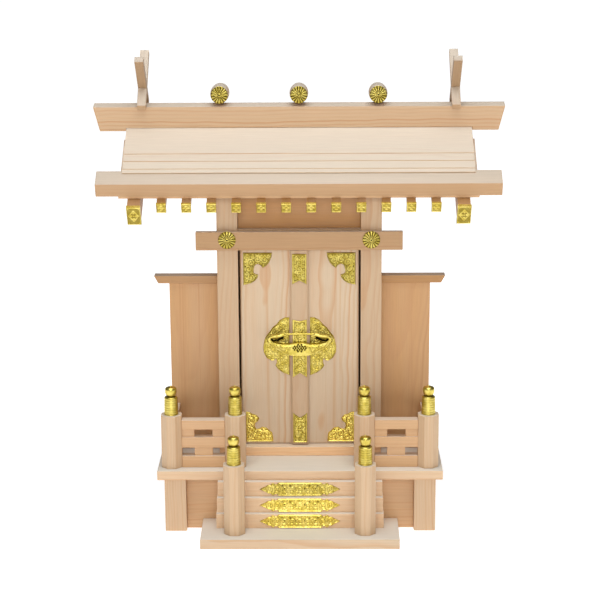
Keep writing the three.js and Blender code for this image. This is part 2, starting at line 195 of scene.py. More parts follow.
class Finish:
    """A material under one Principled shader."""

    def __init__(self, name, **constants):
        self.material = bpy.data.materials.new(name)
        self.material.use_nodes = True
        self.tree = self.material.node_tree
        self.tree.nodes.clear()
        self.shader = self.node("ShaderNodeBsdfPrincipled", sockets=constants)
        output = self.node("ShaderNodeOutputMaterial")
        self.tree.links.new(self.shader.outputs["BSDF"], output.inputs["Surface"])

    def node(self, kind, settings=None, sockets=None):
        node = self.tree.nodes.new(kind)
        for key, value in (settings or {}).items():
            setattr(node, key, value)
        for key, value in (sockets or {}).items():
            self.feed(node.inputs[key], value)
        return node

    def feed(self, socket, value):
        if isinstance(value, Wire):
            value = value.socket
        if isinstance(value, bpy.types.NodeSocket):
            self.tree.links.new(value, socket)
        else:
            socket.default_value = value

    def set(self, name, value):
        self.feed(self.shader.inputs[name], value)

    def noise(self, place, scale, detail=2.0, roughness=0.5):
        node = self.node(
            "ShaderNodeTexNoise",
            sockets={"Vector": place, "Scale": scale, "Detail": detail, "Roughness": roughness},
        )
        return Wire(self, node.outputs["Fac"])

    def mapped(self, place, turn=(0, 0, 0), scale=(1, 1, 1), shift=(0, 0, 0)):
        node = self.node(
            "ShaderNodeMapping",
            sockets={"Vector": place, "Rotation": turn, "Scale": scale, "Location": shift},
        )
        return node.outputs["Vector"]

    def vector(self, operation, *values):
        node = self.node("ShaderNodeVectorMath", {"operation": operation}, dict(enumerate(values)))
        return node.outputs[0]

    def grey(self, level):
        node = self.node("ShaderNodeCombineColor", sockets={0: level, 1: level, 2: level})
        return node.outputs[0]

    def mix(self, factor, first, second, blend="MIX"):
        node = self.node(
            "ShaderNodeMix",
            {"data_type": "RGBA", "blend_type": blend},
            {"Factor": factor, 6: first, 7: second},
        )
        return node.outputs[2]

    def bump(self, height, distance, strength=1.0):
        node = self.node(
            "ShaderNodeBump", sockets={"Height": height, "Distance": distance, "Strength": strength}
        )
        self.set("Normal", node.outputs["Normal"])


# -------------- the roof's slopes, as in the CAD

PITCH = math.radians(32)
ridge_low, ridge_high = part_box("ridge_board")
PEAK = Vector((0, (ridge_low.y + ridge_high.y) / 2, 0.3898))

# In millimetres: down is along the slope from the peak, and up is square to it
RAFTERS, RAFTER_PITCH, RAFTER_HALF = 12, 23.76, 4.4
RAFTER_END, RAFTER_MIDDLE_UP = 101.0, -24.7
BARGE_END, BARGE_MIDDLE_UP = 106.8, -30.3
BARGE_CUT_BACK = 1.25  # room for the gilt cap's face
SOFFIT_END, SOFFIT_UNDER_UP = 92.4, -20.6


def on_slope(down, up, side):
    """A point on the front (side 1) or back (side -1) slope."""
    run = (down * math.cos(PITCH) + up * math.sin(PITCH)) * MM
    drop = (down * math.sin(PITCH) - up * math.cos(PITCH)) * MM
    return Vector((0, PEAK.y - side * run, PEAK.z - drop))


def down_and_up(place, middle_y):
    """A point's place on its slope, the other way round."""
    run, drop = abs(place.y - middle_y) / MM, (PEAK.z - place.z) / MM
    down = run * math.cos(PITCH) + drop * math.sin(PITCH)
    return down, run * math.sin(PITCH) - drop * math.cos(PITCH)


# -------------- finishes

GRAIN_TURNS = {
    "X": (0, -math.pi / 2, 0),
    "Y": (math.pi / 2, 0, 0),
    "Z": (0, 0, 0),
    "front slope": (math.pi / 2 - PITCH, 0, 0),
    "back slope": (PITCH - math.pi / 2, 0, 0),
    "front horn": (-math.pi / 4, 0, 0),
    "back horn": (math.pi / 4, 0, 0),
}
PALE = (0.610, 0.465, 0.312)
WARM = (0.610, 0.365, 0.180)
HEARTWOOD = (0.540, 0.270, 0.110)
BLUSH = (0.600, 0.370, 0.205)
# the paler colour painted on faces that look up: painted top light and sheen
PAINTED_TOP_LIGHT = (0.740, 0.665, 0.550)

# Scales of the wood's patterns, across, across and along the grain
DRIFT_SCALE = (9, 9, 2.2)
DRIFT_REACH = (0.022, 0.022, 0)  # metres
FIBRE_SCALE = (2600, 2600, 34)
PATCH_SCALE = (34, 34, 3.5)
STREAK_SCALE = (210, 210, 2.6)


def shaded(color, share):
    return tuple(c * share for c in color) + (1,)


def cypress(name, grain, heart, ring=3.6, late=0.55, blush=0.45, tone=1.0, top_light=0.6, warm=0.3):
    """Sawn and planed cypress.

    grain is the way it runs. heart is where the tree's centre line lies, on the two directions
    across the grain, and ring is how far apart its rings are, both in millimetres. late darkens
    the rings' outer wood, blush brings in pinker patches, top_light paints faces that look up
    paler as painted light from above and its sheen, and warm goes from pale wood to orange.
    tone scales the colour. Per piece, tone and warm are partly the wood's own colour and partly
    painted light and shade.
    """
    finish = Finish(name, Metallic=0.0, IOR=1.48)
    place = finish.node("ShaderNodeTexCoord").outputs["Object"]
    upright = finish.mapped(place, turn=GRAIN_TURNS[grain])
    from_heart = finish.mapped(upright, shift=(heart[0] * MM, heart[1] * MM, 0.37))

    # Rings round the centre line, which wanders along the trunk
    drift_place = finish.mapped(from_heart, scale=DRIFT_SCALE)
    drift = finish.node(
        "ShaderNodeTexNoise", sockets={"Vector": drift_place, "Scale": 1.0, "Detail": 2.0}
    )
    centred = finish.vector("SUBTRACT", drift.outputs["Color"], (0.5, 0.5, 0.5))
    wander = finish.vector("MULTIPLY_ADD", centred, DRIFT_REACH, from_heart)
    flat = finish.vector("MULTIPLY", wander, (1, 1, 0))
    length = finish.node("ShaderNodeVectorMath", {"operation": "LENGTH"}, {0: flat})
    count = Wire(finish, length.outputs["Value"]) / (ring * MM)
    count = count + finish.noise(from_heart, 26.0, 1.0) * 1.1
    along_ring = count.fraction()
    latewood = along_ring.step(0.35, 0.86) * along_ring.step(0.88, 1.0, 1.0, 0.0)
    each_ring = {"W": count.floor()}
    weight = finish.node("ShaderNodeTexWhiteNoise", {"noise_dimensions": "1D"}, each_ring)
    strength = Wire(finish, weight.outputs["Value"]).power(1.8) * 0.85 + 0.15

    # Fibres, broad patches and fine streaks, all drawn out along the grain
    fibre = finish.noise(finish.mapped(upright, scale=FIBRE_SCALE), 1.0, 3.0, 0.65)
    patch_place = finish.mapped(upright, scale=PATCH_SCALE, shift=(heart[1], heart[0], 0))
    broad = finish.noise(patch_place, 1.0, 2.0)
    streak_place = finish.mapped(upright, scale=STREAK_SCALE, shift=(heart[0], 3, 1))
    streak = finish.noise(streak_place, 1.0, 2.0)

    pale = tuple(a + (b - a) * warm for a, b in zip(PALE, WARM))
    color = finish.mix(broad.step(0.38, 0.72) * blush, shaded(pale, tone), shaded(BLUSH, tone))
    color = finish.mix(latewood * strength * late, color, shaded(HEARTWOOD, tone))
    color = finish.mix(streak.step(0.58, 0.78) * late * 0.7, color, shaded(HEARTWOOD, tone))
    # Painted top light: faces that look up are mixed towards a paler colour, standing in for light
    # from above and its sheen
    facing = finish.node("ShaderNodeNewGeometry").outputs["Normal"]
    upward = finish.node("ShaderNodeSeparateXYZ", sockets={0: facing}).outputs["Z"]
    color = finish.mix(Wire(finish, upward).step(0.25, 0.9) * top_light, color, PAINTED_TOP_LIGHT + (1,))
    shade = finish.grey(fibre.step(0.3, 0.75, 0.93, 1.04))
    finish.set("Base Color", finish.mix(1.0, color, shade, "MULTIPLY"))
    finish.set("Roughness", fibre.step(0.25, 0.8, 0.62, 0.46) + latewood * -0.06)
    finish.bump(fibre * 0.6 + latewood * strength * 0.4, 0.00012, 0.55)
    return finish.material


GOLD = (0.530, 0.405, 0.068)
GOLD_BRIGHT = (0.720, 0.585, 0.150)
GOLD_DEEP = (0.150, 0.100, 0.010)
# painted shade: the near-black colour of pits and holes
GOLD_PAINTED_SHADE = (0.012, 0.008, 0.002)


def gilding(name, rough=0.24, tone=1.0):
    """Gilt brass. The ground between the relief is darker, and pits and holes get painted shade,
    nearly black. tone makes lighter and darker copies, used as painted reflected light.
    """
    finish = Finish(name, Metallic=1.0)
    place = finish.node("ShaderNodeTexCoord").outputs["Object"]
    cloud = finish.noise(place, 190.0, 3.0)
    fine = finish.noise(place, 1400.0, 2.0)
    color = finish.mix(cloud.step(0.35, 0.7), shaded(GOLD, tone), shaded(GOLD_BRIGHT, tone))
    relief = finish.node("ShaderNodeAttribute", {"attribute_name": "relief"})
    raised = Wire(finish, relief.outputs["Fac"])
    color = finish.mix(raised.step(0.0, 0.5), shaded(GOLD_DEEP, tone), color)
    # relief below the ground paints pits and holes near-black, as painted shade
    color = finish.mix(raised.step(-1.0, -0.2), GOLD_PAINTED_SHADE + (1,), color)
    finish.set("Roughness", raised.step(0.0, 0.7, rough + 0.22, rough) + fine * 0.08)
    finish.set("Base Color", color)
    finish.bump(fine, 0.00006, 0.5)
    return finish.material


def floor_paper():
    """White paper that glows, as painted light, weakly near the shrine and more away from it, so
    that it runs out to plain white.
    """
    finish = Finish("white_paper", Roughness=0.9)
    finish.set("Base Color", (0.9, 0.9, 0.9, 1))
    place = finish.node("ShaderNodeTexCoord").outputs["Object"]
    away = finish.node("ShaderNodeVectorMath", {"operation": "LENGTH"}, {0: place})
    glow = Wire(finish, away.outputs["Value"]).step(0.16, 0.55, 0.60, 0.86)
    finish.set("Emission Color", finish.grey(glow))
    finish.shader.inputs["Emission Strength"].default_value = 1.0
    return finish.material


# -------------- mesh helpers


def mesh_from(name, corners, faces, relief):
    """A smooth mesh in metres, with each corner's height in the pattern kept as its relief."""
    mesh = bpy.data.meshes.new(name)
    mesh.from_pydata([tuple(c) for c in corners], [], faces)
    heights = mesh.attributes.new("relief", "FLOAT", "POINT")
    heights.data.foreach_set("value", np.asarray(relief, np.float32))
    mesh.polygons.foreach_set("use_smooth", [True] * len(mesh.polygons))
    mesh.update()
    return mesh


def crisp(mesh, sharp):
    """Turns the faces outwards, and makes edges over sharp degrees crisp."""
    shell = bmesh.new()
    shell.from_mesh(mesh)
    bmesh.ops.recalc_face_normals(shell, faces=shell.faces)
    shell.to_mesh(mesh)
    shell.free()
    mesh.set_sharp_from_angle(angle=math.radians(sharp))
    return mesh


def place_piece(piece, body, slot, *nodes):
    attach(piece, body)
    if nodes:
        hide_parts(*nodes)
    return piece


def shell_of(node):
    """A CAD node's solid as one clean bmesh, its flat faces whole."""
    shell = bmesh.new()
    shell.from_mesh(frame["nodes"][node].data)
    bmesh.ops.remove_doubles(shell, verts=shell.verts, dist=1e-6)
    bmesh.ops.dissolve_limit(
        shell, angle_limit=math.radians(0.5), verts=shell.verts, edges=shell.edges
    )
    return shell


def dressed(node, looks, eased=0.45, choose=None, cuts=(), shape=None):
    """A CAD node's timber with its arrises eased.

    choose picks a look for a face from its middle, cuts are planes that split faces between looks,
    and shape may move a corner.
    """
    shell = shell_of(node)
    if shape:
        for corner in shell.verts:
            shape(corner)
    for point, normal in cuts:
        whole = shell.verts[:] + shell.edges[:] + shell.faces[:]
        bmesh.ops.bisect_plane(shell, geom=whole, plane_co=point, plane_no=normal)
    blunt = math.radians(28)
    arrises = [
        e for e in shell.edges if e.is_manifold and e.is_convex and e.calc_face_angle(0) > blunt
    ]
    bmesh.ops.bevel(
        shell, geom=arrises, offset=eased * MM, segments=2, profile=0.5, affect="EDGES",
        clamp_overlap=True,
    )
    bmesh.ops.recalc_face_normals(shell, faces=shell.faces)
    if choose:
        for face in shell.faces:
            face.material_index = choose(face.calc_center_median())
    mesh = bpy.data.meshes.new(node + "_dressed")
    shell.to_mesh(mesh)
    shell.free()
    piece = as_object(node + "_dressed", mesh)
    for look in looks:
        mesh.materials.append(look)
    return place_piece(piece, BODY_OF[node], "wood", node)


def turned(name, profile, segments, material, relief, axis="Z", place=(0, 0, 0)):
    """A shape turned on a lathe from (radius, height) in millimetres, closed at both poles."""
    corners, levels, shades = [], [], []
    for i, (radius, height) in enumerate(profile):
        count = 1 if radius == 0 else segments
        levels.append((len(corners), count))
        for k in range(count):
            angle = 2 * math.pi * k / segments
            corners.append((radius * math.cos(angle), radius * math.sin(angle), height))
            shades.append(relief[i])
    faces = []
    for (low, low_count), (high, high_count) in zip(levels, levels[1:]):
        for k in range(segments):
            n = (k + 1) % segments
            if low_count == 1 and high_count > 1:
                faces.append((low, high + n, high + k))
            elif high_count == 1 and low_count > 1:
                faces.append((low + k, low + n, high))
            elif low_count > 1:
                faces.append((low + k, low + n, high + n, high + k))
    spin = {"Z": Matrix.Identity(3), "-Y": Matrix(((1, 0, 0), (0, 0, -1), (0, 1, 0)))}[axis]
    corners = [spin @ Vector(c) * MM + Vector(place) for c in corners]
    return as_object(name, mesh_from(name, corners, faces, shades), material)


def spaced_outline(points, spacing):
    """An outline's points spaced evenly along its straight edges."""
    ring = []
    for (x0, z0), (x1, z1) in zip(points, points[1:] + points[:1]):
        steps = max(1, round(math.hypot(x1 - x0, z1 - z0) / spacing))
        ring += [(x0 + (x1 - x0) * i / steps, z0 + (z1 - z0) * i / steps) for i in range(steps)]
    return np.array(ring)


def distance_to(points, starts, ends):
    """Each point's distance to the nearest of some segments, and that segment's number."""
    best = np.full(len(points), 1e9)
    which = np.zeros(len(points), int)
    for i, (a, b) in enumerate(zip(starts, ends)):
        run = b - a
        t = np.clip(((points - a) @ run) / max(run @ run, 1e-12), 0, 1)
        far = np.hypot(*(points - a - t[:, None] * run).T)
        nearer = far < best
        best[nearer], which[nearer] = far[nearer], i
    return best, which


def inside(points, ring):
    hits = np.zeros(len(points), bool)
    x, y = points.T
    for (x0, y0), (x1, y1) in zip(ring, np.roll(ring, -1, 0)):
        crosses = (y0 > y) != (y1 > y)
        hits ^= crosses & (x < (x1 - x0) * (y - y0) / ((y1 - y0) or 1e-12) + x0)
    return hits


SMALLEST_EYE, MOST_EYES, TIGHTEST_SCROLL = 0.5, 160, 1.25
EYE_GRID = 0.35  # millimetres between the places tried


def scroll_places(ring, rim, biggest, mirror_x=False):
    """Circles packed into an outline, the largest first: the eyes of its scrollwork."""
    low, high = ring.min(0), ring.max(0)
    columns, rows = (np.arange(low[i], high[i], EYE_GRID) for i in (0, 1))
    grid = np.stack(np.meshgrid(columns, rows), -1).reshape(-1, 2)
    middle = (low + high) / 2
    grid = grid[inside(grid, ring)]
    if mirror_x:
        grid = grid[grid[:, 0] >= middle[0] - 1e-6]
    room = distance_to(grid, ring, np.roll(ring, -1, 0))[0] - rim
    if mirror_x:
        off = grid[:, 0] - middle[0]
        room = np.where(off < 0.2, room, np.minimum(room, off))
    circles = []
    while len(circles) < MOST_EYES:
        best = int(np.argmax(np.minimum(room, biggest) - 0.02 * np.abs(grid - middle).sum(1)))
        radius = min(room[best], biggest)
        if radius < SMALLEST_EYE:
            break
        eye = grid[best]
        circles.append((eye[0], eye[1], radius))
        room = np.minimum(room, np.hypot(*(grid - eye).T) - radius)
    if mirror_x:
        aside = [c for c in circles if abs(c[0] - middle[0]) > 0.3]
        circles += [(2 * middle[0] - x, z, radius) for x, z, radius in aside]
    return circles, middle


def scroll_lines(circles, middle):
    """Spirals in the larger circles, each starting towards a neighbour, and beads in the rest."""
    lines, beads = [], []
    for i, (x, z, radius) in enumerate(circles):
        if radius < TIGHTEST_SCROLL:
            beads.append((x, z, radius * 0.85))
            continue
        near = [c for j, c in enumerate(circles) if j != i and c[2] >= TIGHTEST_SCROLL]
        start, hand = 0.0, 1.0
        if near:
            mate = min(near, key=lambda c: math.hypot(c[0] - x, c[1] - z) - c[2])
            start = math.atan2(mate[1] - z, mate[0] - x)
        if (x - middle[0]) * (z - middle[1]) < 0:
            hand = -1.0
        turns = 1.35 if radius > 2.2 else 1.0
        line = []
        for k in range(int(16 * turns) + 1):
            t = k / (16 * turns)
            reach = radius * (1.02 - 0.72 * t)
            angle = start + hand * turns * 2 * math.pi * t
            line.append((x + reach * math.cos(angle), z + reach * math.sin(angle)))
        lines.append(line)
        beads.append((x, z, radius * 0.24))
    return lines, beads


# a pit's relief paints it near-black, as painted shade in the pit
PIT, PIT_DEEP = -0.75, 0.5  # a pit's relief, under the ground's 0, and its depth in millimetres


LINE_WIDE = 0.6  # half a raised line's width
DOME_RUN = 5.0  # how far in from the edge a dome rises


def embossed(outline, spacing=0.45, thick=0.55, rim=1.0, rim_high=0.45, lines=(), beads=(), pits=(),
             line_high=0.5, dome=0.0, ground=0.3):
    """A plate beaten up from behind: corners (x, height, z) in millimetres, faces and relief.

    lines, beads and the rim stand up from it, pits go down, and dome rounds the whole plate up from
    its edge. ground is the relief between them, so how dark it is there.
    """
    ring = spaced_outline([tuple(p) for p in outline], spacing)
    low, high = ring.min(0), ring.max(0)
    rows = []
    for r, z in enumerate(np.arange(low[1] + spacing / 2, high[1], spacing * 0.87)):
        xs = np.arange(low[0] + spacing / 2 * (1 + r % 2), high[0], spacing)
        rows.append(np.stack([xs, np.full(len(xs), z)], 1))
    inner = np.concatenate(rows)
    inner = inner[inside(inner, ring)]
    edge = distance_to(inner, ring, np.roll(ring, -1, 0))[0]
    inner = inner[edge > spacing * 0.6]
    points = [Vector(p) for p in np.concatenate([ring, inner])]
    flat, _, triangles, _, _, _ = delaunay_2d_cdt(points, [], [list(range(len(ring)))], 1, 1e-5)
    flat = np.array([tuple(v) for v in flat])
    edge = distance_to(flat, ring, np.roll(ring, -1, 0))[0]
    raised = np.clip(1 - ((edge - rim * 0.5) / (rim * 0.5)) ** 2, 0, 1) * rim_high
    pieces = [np.array(ends) for line in lines for ends in zip(line, line[1:])]
    if pieces:
        far, _ = distance_to(flat, [p[0] for p in pieces], [p[1] for p in pieces])
        raised = np.maximum(raised, np.sqrt(np.clip(1 - (far / LINE_WIDE) ** 2, 0, 1)) * line_high)
    for x, z, radius in beads:
        far = np.hypot(flat[:, 0] - x, flat[:, 1] - z)
        ball = np.sqrt(np.clip(1 - (far / radius) ** 2, 0, 1))
        raised = np.maximum(raised, ball * min(radius, line_high))
    relief = np.clip(ground + (1 - ground) * raised / max(line_high, rim_high), 0, 1)
    height = thick + raised
    if dome:
        t = np.clip(edge / DOME_RUN, 0, 1)
        height = height + dome * np.sqrt(np.clip(1 - (1 - t) ** 2, 0, 1))
    for x, z, wide, tall in pits:
        in_pit = np.abs(flat[:, 0] - x) / wide + np.abs(flat[:, 1] - z) / tall < 1
        height = np.where(in_pit, height - PIT_DEEP, height)
        relief = np.where(in_pit, PIT, relief)
    height = np.where(edge < 1e-4, thick * 0.75, height)
    count = len(flat)
    corners = [(x, h, z) for (x, z), h in zip(flat, height)]
    faces = [tuple(t) for t in triangles]
    # Its edge and back follow the front's open edge
    used = {}
    for face in faces:
        for a, b in zip(face, face[1:] + face[:1]):
            used[(a, b)] = used.get((a, b), 0) + 1
    border = [(a, b) for a, b in used if (b, a) not in used]
    after = dict(border)
    start = border[0][0]
    loop = [start]
    while after[loop[-1]] != start:
        loop.append(after[loop[-1]])
    back = {v: count + i for i, v in enumerate(loop)}
    corners += [(flat[v][0], 0.0, flat[v][1]) for v in loop]
    relief = np.concatenate([relief, np.full(len(loop), 0.3)])
    for a, b in border:
        faces.append((b, a, back[a], back[b]))
    faces.append(tuple(back[v] for v in reversed(loop)))
    return np.array(corners), faces, relief


def hang_plate(name, plate, material, place, body, mirror=False):
    """Lays a plate on an upright face: its origin at place, in metres, and its height forward."""
    corners, faces, relief = plate
    x, h, z = corners.T
    if mirror:
        x = -x
    put = [(a * MM + place[0], -b * MM + place[1], c * MM + place[2]) for a, b, c in zip(x, h, z)]
    mesh = crisp(mesh_from(name, put, faces, relief), 50)
    return place_piece(as_object(name, mesh, material), body, "gilt")


# -------------- repeated fittings


def repeat_tree():
    """Sets a fitting out in a row, or round a centre, as Geometry Nodes."""
    tree = bpy.data.node_groups.new("set_out_fittings", "GeometryNodeTree")
    kinds = {
        "Fitting": "NodeSocketGeometry",
        "Count": "NodeSocketInt",
        "First place": "NodeSocketVector",
        "Step": "NodeSocketVector",
        "Turn each": "NodeSocketVector",
        "Finish": "NodeSocketMaterial",
    }
    names = {}
    for name, kind in kinds.items():
        entry = tree.interface.new_socket(name=name, in_out="INPUT", socket_type=kind)
        names[name] = entry.identifier
    tree.interface.new_socket(name="Set out", in_out="OUTPUT", socket_type="NodeSocketGeometry")

    def node(kind, settings=None, sockets=None):
        made = tree.nodes.new(kind)
        for key, value in (settings or {}).items():
            setattr(made, key, value)
        for key, value in (sockets or {}).items():
            tree.links.new(value, made.inputs[key])
        return made

    given = node("NodeGroupInput").outputs
    index = node("GeometryNodeInputIndex").outputs[0]
    vector = "ShaderNodeVectorMath"
    reach = node(vector, {"operation": "SCALE"}, {0: given["Step"], "Scale": index})
    place = node(vector, {"operation": "ADD"}, {0: given["First place"], 1: reach.outputs[0]})
    turn = node(vector, {"operation": "SCALE"}, {0: given["Turn each"], "Scale": index})
    at_each = {"Count": given["Count"], "Position": place.outputs[0]}
    points = node("GeometryNodePoints", sockets=at_each)
    one_copy = {"Instance": given["Fitting"], "Rotation": turn.outputs[0]}
    one_copy["Points"] = points.outputs[0]
    copies = node("GeometryNodeInstanceOnPoints", sockets=one_copy)
    real = node("GeometryNodeRealizeInstances", sockets={"Geometry": copies.outputs[0]})
    look = {"Geometry": real.outputs[0], "Material": given["Finish"]}
    finished = node("GeometryNodeSetMaterial", sockets=look)
    node("NodeGroupOutput", sockets={0: finished.outputs[0]})
    return tree, names


def set_out(fitting, count, first, step, turn, material):
    """Runs the row on a fitting's mesh, and leaves the whole row in its place as a plain mesh."""
    tree, names = REPEAT
    modifier = fitting.modifiers.new("row", "NODES")
    modifier.node_group = tree
    modifier[names["Count"]] = count
    modifier[names["First place"]] = first
    modifier[names["Step"]] = step
    modifier[names["Turn each"]] = turn
    modifier[names["Finish"]] = material
    seen = fitting.evaluated_get(bpy.context.evaluated_depsgraph_get())
    mesh = bpy.data.meshes.new_from_object(seen)
    fitting.modifiers.clear()
    fitting.data = mesh
    return fitting


def joined(name, pieces):
    """Several meshes as one."""
    whole = bmesh.new()
    for piece in pieces:
        whole.from_mesh(piece.data)
    mesh = bpy.data.meshes.new(name)
    whole.to_mesh(mesh)
    whole.free()
    for material in pieces[0].data.materials:
        mesh.materials.append(material)
    for piece in pieces:
        bpy.data.objects.remove(piece)
    return as_object(name, mesh)


# -------------- build

set_camera()
light_studio()
REPEAT = repeat_tree()

paper = bpy.data.meshes.new("floor_paper")
paper.from_pydata([(-20, -20, 0), (20, -20, 0), (20, 20, 0), (-20, 20, 0)], [], [(0, 1, 2, 3)])
as_object("floor_paper", paper, floor_paper())

gilt_worked = gilding("gilt_worked")
# gilt_upper is a darker copy and gilt_foot a brighter copy of the one gilt: painted reflected light,
# less on the upper fittings and more on the lower ones
gilt_upper = gilding("gilt_upper", tone=0.82)
gilt_foot = gilding("gilt_foot", tone=1.4)
gilt_turned = gilding("gilt_turned", rough=0.25)


def both(name, grain, left, right, **details):
    """A left and a right piece with one look, each with its own heart."""
    return {f"{name}_left": (grain, left, details), f"{name}_right": (grain, right, details)}


# Timber: the node, the way its grain runs, where its heart lies, and how it looks. Each piece's
# tone and warm are partly the wood's own colour and partly painted light and shade: lower tone
# and more warm paint shade under the eave, higher tone paints light on the sill, steps and floor.
TIMBER = {
    "base_board": ("X", (38, 12), dict(ring=4.2, tone=1.03, top_light=1.0, warm=0.12)),
    # the steps' tone above 1 paints light onto their fronts
    "step_lower": ("X", (-60, 20), dict(ring=4.4, late=0.4, warm=0.4, tone=1.3, top_light=0.95)),
    "step_middle": ("X", (-48, 31), dict(ring=4.1, late=0.45, warm=0.4, tone=1.27, top_light=0.95)),
    "step_upper": ("X", (-70, 26), dict(ring=3.9, late=0.4, warm=0.45, tone=1.22, top_light=0.95)),
    "newel_left": ("Z", (24, 60), dict(ring=3.2, late=0.4, warm=0.45, tone=1.03)),
    "newel_right": ("Z", (-110, 64), dict(ring=3.4, late=0.4, warm=0.45, tone=1.03)),
    **both("leg", "Z", (150, 70), (-90, 80), ring=2.8, warm=0.4),
    "plinth_front": ("X", (-30, 90), dict(ring=3.4, warm=0.9)),
    **both("plinth", "Y", (90, -20), (-90, -20), ring=3.4, warm=0.9),
    "plinth_back": ("X", (-30, -60), dict(ring=3.4)),
    "floor_board": ("X", (-20, 14), dict(ring=3.8, tone=1.15, top_light=1.0, warm=0.35)),
    **both("rail_post_outer", "Z", (150, 72), (-150, 72), ring=3.0, late=0.4, warm=0.45),
    **both("rail_post_inner", "Z", (40, 72), (-40, 72), ring=3.0, late=0.4, warm=0.45),
    **both("railing_front", "X", (-100, 40), (-100, 30), ring=3.0, warm=1, tone=1.03),
    **both("railing_side", "Y", (100, -60), (-100, -60), ring=3.0, warm=1, tone=1.03),
    # the sill's high tone paints light into its recess under the doors
    "sill": ("X", (-60, 20), dict(ring=4.0, warm=0.8, tone=1.45)),
    "door_head": ("X", (-250, 30), dict(ring=3.4, warm=0.8, tone=0.8)),
    **both("pillar", "Z", (90, 40), (-60, 38), ring=3.2, warm=0.45, tone=0.87),
    # lintel and frieze: low tone and high warm paint the eave's shade on them
    "lintel": ("X", (-262, 44), dict(ring=3.4, late=0.95, tone=0.71, warm=1.15)),
    "frieze": ("X", (-320, 30), dict(ring=3.4, tone=0.78, warm=1.8)),
    **both("wall", "Z", (60, -20), (-60, -20), ring=3.4),
    "wall_back": ("Z", (10, -120), dict(ring=3.6)),
    # wings: lower tone and more warm paint the shade in the recess beside the pillars
    **both("wing", "Z", (104, 60), (-100, 50), ring=2.2, late=1.3, tone=0.88, warm=1.35),
    **both("wing_cap", "X", (-236, 20), (-236, 20), ring=3.0, tone=0.7, warm=1.6),
    "door_left": ("Z", (36, 32), dict(ring=4.6, late=0.8, warm=0.1, tone=0.98)),
    "door_right": ("Z", (-24, 30), dict(ring=4.6, late=0.75, warm=0.1, tone=0.97)),
    "astragal": ("Z", (4, 40), dict(ring=3.0, late=0.45, warm=0.35, tone=0.87)),
    "roof_front": ("X", (-330, 20), dict(ring=4.4, late=0.5, blush=0.3, tone=1.03)),
    "roof_back": ("X", (-330, -20), dict(ring=4.4, late=0.5, blush=0.3, tone=1.03)),
    # eave fronts: low tone paints shade on faces that look forward and down
    "eave_front": ("X", (-330, 60), dict(ring=3.6, late=0.5, warm=1.05, tone=0.78)),
    "eave_back": ("X", (-330, -60), dict(ring=3.6, late=0.5, warm=1.05, tone=0.78)),
    "ridge_board": ("X", (-385, 40), dict(ring=3.4, late=1.0, warm=0.65, tone=0.91)),
    "ridge_billet_left": ("Y", (80, -420), dict(ring=3.0, warm=0.5, tone=0.9)),
    "ridge_billet_middle": ("Y", (5, -420), dict(ring=3.0, warm=0.5, tone=0.9)),
    "ridge_billet_right": ("Y", (-70, -420), dict(ring=3.0, warm=0.5, tone=0.9)),
    # front finials: low tone paints shade on their undersides
    **both("finial_front", "front horn", (150, -200), (-150, -200), ring=3.0, warm=0.8, tone=0.6),
    **both("finial_back", "back horn", (150, -180), (-150, -180), ring=3.0, warm=0.5, tone=0.8),
}
FINE_ARRIS = {"roof_front": 0.15, "roof_back": 0.15, "astragal": 0.3, "wing_cap_left": 0.3}

for node, (grain, heart, details) in TIMBER.items():
    look = cypress("cypress_" + node, grain, heart, **details)
    dressed(node, [look], eased=FINE_ARRIS.get(node, 0.45))


def dress_rafters(side):
    """The rafters and their soffit board are one solid, with two grains, and rafter tips darkened
    with painted shade from the eave.
    """
    spar = dict(grain=f"{side} slope", heart=(20, 200), ring=2.8)
    looks = [
        cypress(f"cypress_soffit_{side}", "X", (-310, 30), ring=3.2, warm=0.9),
        cypress(f"cypress_rafter_{side}", **spar, warm=1.0, tone=0.85, top_light=0.1),
        cypress(f"cypress_rafter_tip_{side}", **spar, warm=1.8, tone=0.58, top_light=0.0),
    ]

    def choose(place):
        across = (place.x / MM + RAFTERS / 2 * RAFTER_PITCH) % RAFTER_PITCH - RAFTER_PITCH / 2
        if abs(across) > RAFTER_HALF:
            return 0
        down, up = down_and_up(place, PEAK.y)
        # past the soffit's end a face takes the tip look, painted shade from the eave
        return 2 if down > SOFFIT_END else int(up < SOFFIT_UNDER_UP)

    dressed(f"rafters_{side}", looks, eased=0.3, choose=choose)


def dress_bargeboard(side):
    """A bargeboard with the grain down each slope, its ends drawn in for the gilt caps."""
    # The dark orange tone is the wood's colour darkened with painted shade from the eave.
    board = dict(heart=(150, 180), ring=3.2, warm=1.6, tone=0.72, top_light=0.0)
    looks = [
        cypress(f"cypress_bargeboard_{side}_{part}", f"{part} slope", **board)
        for part in ("front", "back")
    ]
    low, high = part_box("bargeboard_" + side)
    middle_y = (low.y + high.y) / 2

    def cut_back(corner):
        if down_and_up(corner.co, middle_y)[0] > BARGE_END - 0.8:
            reach = corner.co.y - middle_y
            corner.co.y -= math.copysign(BARGE_CUT_BACK * math.cos(PITCH) * MM, reach)
            corner.co.z += BARGE_CUT_BACK * math.sin(PITCH) * MM

    dressed(
        "bargeboard_" + side,
        looks,
        choose=lambda place: int(place.y > middle_y),
        cuts=[((0, middle_y, 0), (0, 1, 0))],
        shape=cut_back,
    )


for side in ("front", "back"):
    dress_rafters(side)
for side in ("left", "right"):
    dress_bargeboard(side)

# -------------- gilt fittings

SEAT = 0.05 * MM  # a fitting's back sits this far into the timber

